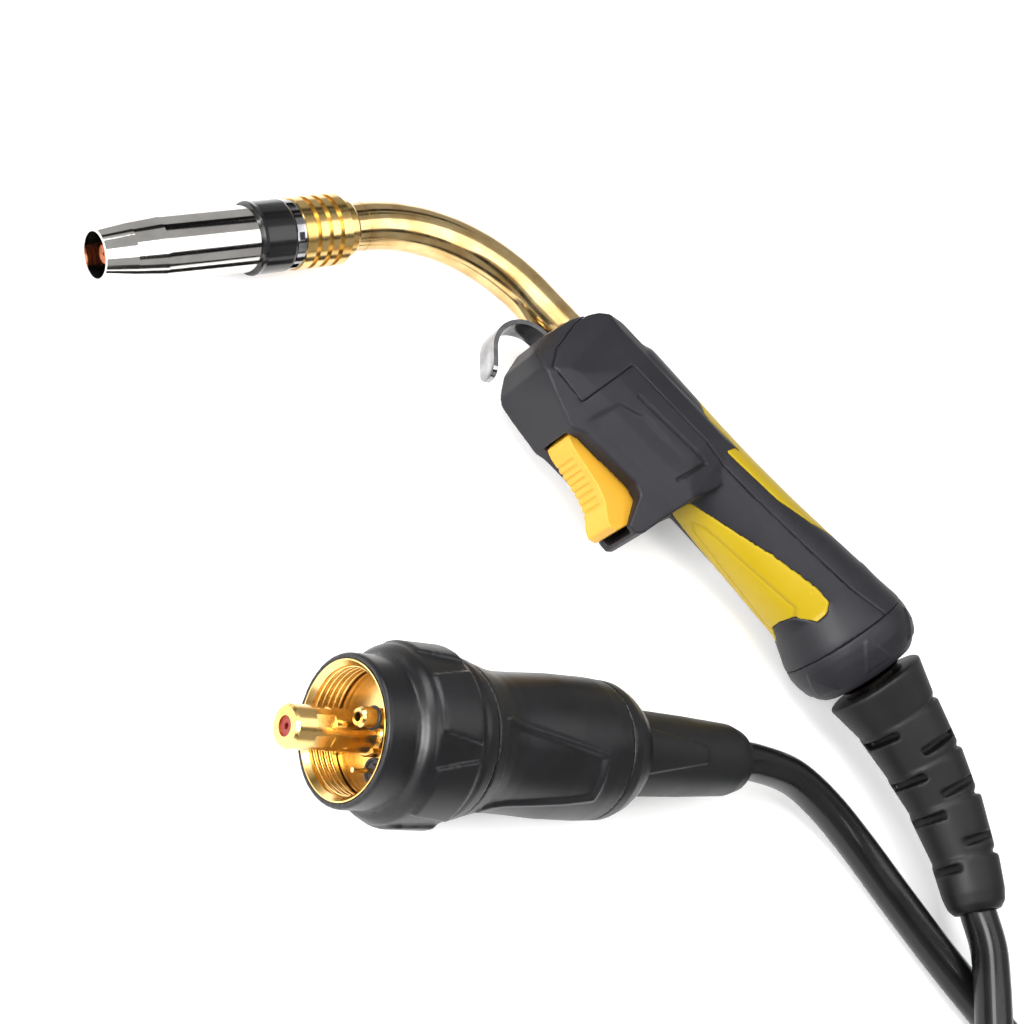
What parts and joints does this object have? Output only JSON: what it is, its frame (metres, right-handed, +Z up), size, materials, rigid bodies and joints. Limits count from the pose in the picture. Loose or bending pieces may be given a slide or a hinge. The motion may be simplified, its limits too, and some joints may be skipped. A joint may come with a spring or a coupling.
{
  "type": "mig welding torch",
  "caption": "Swan-neck welding torch lying on its side: two-tone handle, trigger, push-on gas nozzle, swivel collar and a coiled lead ending in a screw-on gun plug.",
  "frame": {"origin": "on the surface the torch lies on, under the centre of the torch without its lead and plug", "axes": "+X along the grip towards the neck, +Y towards the trigger side, +Z up; the torch lies on its side"},
  "size_m": [0.6396, 0.2841, 0.0572],
  "materials": {
    "nozzle_chrome": "mirror plated, warm brushed flats",
    "band_black": "satin moulded phenolic",
    "copper": "turned copper, satin",
    "brass": "turned brass, satin",
    "neck_jacket": "drawn brass tube, semi-gloss",
    "insulation": "matte sleeve",
    "phenolic": "satin phenolic",
    "handle_plastic": "fine-grained matte, dark blue-grey",
    "grip_yellow": "satin soft grip, mustard yellow",
    "trigger_orange": "satin moulded, orange-yellow",
    "steel": "polished sheet and wire",
    "switch_black": "matte moulded",
    "plunger_red": "matte moulded",
    "boot_rubber": "satin near-black rubber",
    "lead_jacket": "glossy black sheath",
    "liner_red": "dark red sleeve"
  },
  "bodies": {
    "base": {"swivel_ball": "brass", "torch_boot": "boot_rubber", "torch_cable": "lead_jacket", "cable_coil": "lead_jacket", "connector_cable": "lead_jacket", "plug_boot": "boot_rubber", "plug_cap": "handle_plastic", "plug_housing": "handle_plastic", "plug_core": "copper", "plug_body": "brass", "centre_pin": "brass", "wire_liner": "liner_red", "gas_nipple": "brass", "nipple_o_ring": "boot_rubber", "signal_bushes": "switch_black", "nut_circlip": "steel"},
    "torch": {"contact_tip": "copper", "gas_diffuser": "brass", "nozzle_insulator": "phenolic", "clip_ring": "steel", "finned_ring": "brass", "step_ring": "brass", "neck_tube": "neck_jacket", "neck_insulation": "insulation", "neck_conductor": "copper", "neck_block": "brass", "core_lead": "lead_jacket", "upper_shell": "handle_plastic", "lower_shell": "handle_plastic", "back_inlay": "grip_yellow", "belly_inlay": "grip_yellow", "shell_screws": "steel", "suspension_hook": "steel", "trigger_pin": "steel", "switch_body": "switch_black", "rear_collar": "handle_plastic"},
    "nozzle": {"gas_nozzle": "nozzle_chrome", "insulator_band": "band_black"},
    "trigger": {"trigger": "trigger_orange"},
    "plunger": {"switch_plunger": "plunger_red"},
    "nut": {"nut_shell": "handle_plastic", "threaded_insert": "brass"},
    "pin_1": {"signal_pin_1": "brass"},
    "pin_2": {"signal_pin_2": "brass"}
  },
  "joints": [
    {"name": "torch_swivel", "type": "hinge", "parent": "base", "child": "torch", "pos_m": [-0.09654, -0.0473, 0.02509], "axis": [0, 0, 1], "range_deg": [-8, 8]},
    {"name": "trigger_pull", "type": "hinge", "parent": "torch", "child": "trigger", "pos_m": [0.03497, -0.02082, 0.02142], "axis": [0, 0.1374, 0.9905], "range_deg": [0, 6], "stiffness_Nm_per_rad": 0.3, "springref_deg": -2.86},
    {"name": "plunger_press", "type": "slide", "parent": "torch", "child": "plunger", "axis": [0, -0.9905, 0.1374], "range_m": [0, 0.0022]},
    {"name": "nozzle_pull", "type": "slide", "parent": "torch", "child": "nozzle", "axis": [0.5, 0.8578, -0.119], "range_m": [0, 0.07]},
    {"name": "nut_spin", "type": "hinge", "parent": "base", "child": "nut", "pos_m": [0.03697, 0.14947, 0.03047], "axis": [0.6988, 0.7112, 0.0767], "continuous": true},
    {"name": "signal_1_press", "type": "slide", "parent": "base", "child": "pin_1", "axis": [-0.6988, -0.7112, -0.0767], "range_m": [0, 0.0025], "stiffness_N_per_m": 400, "springref_m": -0.0005},
    {"name": "signal_2_press", "type": "slide", "parent": "base", "child": "pin_2", "axis": [-0.6988, -0.7112, -0.0767], "range_m": [0, 0.0025], "stiffness_N_per_m": 400, "springref_m": -0.0005}
  ],
  "couplings": [
    {"joint": "plunger_press", "follows": "trigger_pull", "m_per_rad": 0.021}
  ]
}
